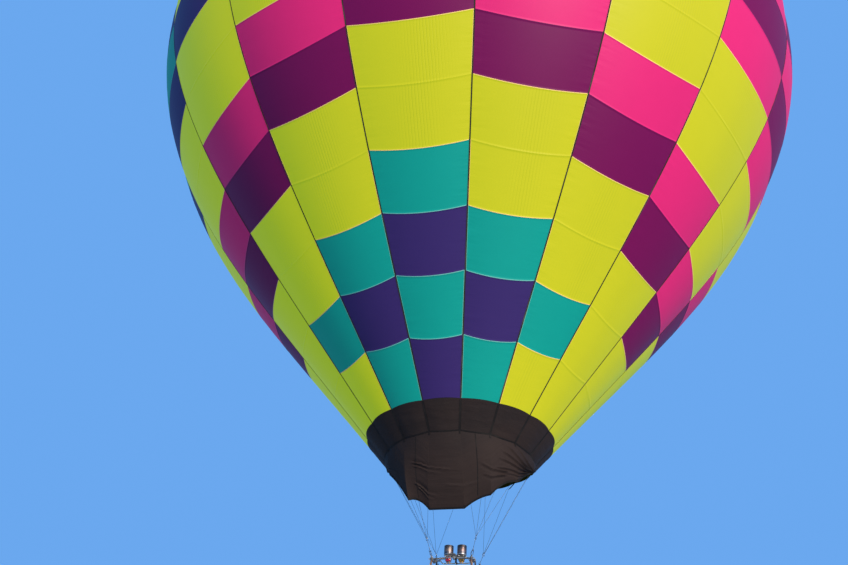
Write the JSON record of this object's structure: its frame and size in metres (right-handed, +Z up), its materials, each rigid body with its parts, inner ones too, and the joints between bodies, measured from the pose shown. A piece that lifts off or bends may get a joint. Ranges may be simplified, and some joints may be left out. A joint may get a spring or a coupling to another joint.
{
  "type": "hot air balloon",
  "caption": "Hot air balloon: bulged gore envelope with load tapes, parachute vent, mouth band and scoop, flying wires, gimballed twin burner, wicker basket and fuel cylinders.",
  "frame": {"origin": "on the envelope's vertical axis, at the height where the load tapes stand widest", "axes": "+Z up along the envelope's axis towards the crown, -Y towards the front, where the scoop hangs, +X towards the right-hand burner"},
  "size_m": [18.6584, 18.6584, 23.6323],
  "materials": {
    "envelope_fabric": "coated ripstop fabric in lime, pink, plum, violet and teal panels",
    "vent_fabric": "coated ripstop fabric",
    "tape_webbing": "woven load tape",
    "heatproof_cloth": "matt heatproof cloth",
    "bare_aluminium": "satin",
    "stainless_steel": "heat stained",
    "steel_wire": "stranded wire",
    "dark_steel": "dark paint, worn at the edges",
    "crimson_paint": "gloss paint",
    "brass": "cast and machined",
    "leather": "padded, stitched",
    "wicker": "woven cane",
    "plywood": "sealed",
    "hardwood": "oiled, scuffed"
  },
  "bodies": {
    "balloon": {"gore_01": "envelope_fabric", "gore_02": "envelope_fabric", "gore_03": "envelope_fabric", "gore_04": "envelope_fabric", "gore_05": "envelope_fabric", "gore_06": "envelope_fabric", "gore_07": "envelope_fabric", "gore_08": "envelope_fabric", "gore_09": "envelope_fabric", "gore_10": "envelope_fabric", "gore_11": "envelope_fabric", "gore_12": "envelope_fabric", "gore_13": "envelope_fabric", "gore_14": "envelope_fabric", "gore_15": "envelope_fabric", "gore_16": "envelope_fabric", "mouth_band": "heatproof_cloth", "load_tapes": "tape_webbing", "crown_ring": "bare_aluminium", "scoop": "heatproof_cloth", "flying_wires_front_right": "steel_wire", "flying_wires_back_right": "steel_wire", "flying_wires_back_left": "steel_wire", "flying_wires_front_left": "steel_wire", "karabiner_front_right": "dark_steel", "karabiner_back_right": "dark_steel", "karabiner_back_left": "dark_steel", "karabiner_front_left": "dark_steel", "burner_frame": "dark_steel", "upright_front_right": "leather", "upright_back_right": "leather", "upright_back_left": "leather", "upright_front_left": "leather", "basket_walls": "wicker", "basket_floor": "plywood", "basket_rim": "leather", "fuel_cylinder_front_right": "bare_aluminium", "fuel_cylinder_back_right": "bare_aluminium", "fuel_cylinder_back_left": "bare_aluminium", "fuel_cylinder_front_left": "bare_aluminium", "skid_left": "hardwood", "skid_right": "hardwood"},
    "vent": {"parachute_vent": "vent_fabric"},
    "gimbal": {"gimbal_ring": "dark_steel"},
    "burner": {"burner_crossbar": "dark_steel", "burner_can_left": "stainless_steel", "burner_can_right": "stainless_steel", "burner_coil_left": "stainless_steel", "burner_coil_right": "stainless_steel", "valve_body_left": "crimson_paint", "valve_body_right": "brass"}
  },
  "joints": [
    {"name": "vent_drop", "type": "slide", "parent": "balloon", "child": "vent", "axis": [0, 0, -1], "range_m": [0, 1]},
    {"name": "gimbal_tilt", "type": "hinge", "parent": "balloon", "child": "gimbal", "pos_m": [0, 0, -14.9], "axis": [1, 0, 0], "range_deg": [-15, 15]},
    {"name": "burner_tilt", "type": "hinge", "parent": "gimbal", "child": "burner", "pos_m": [0, 0, -14.9], "axis": [0, 1, 0], "range_deg": [-12, 12]}
  ]
}
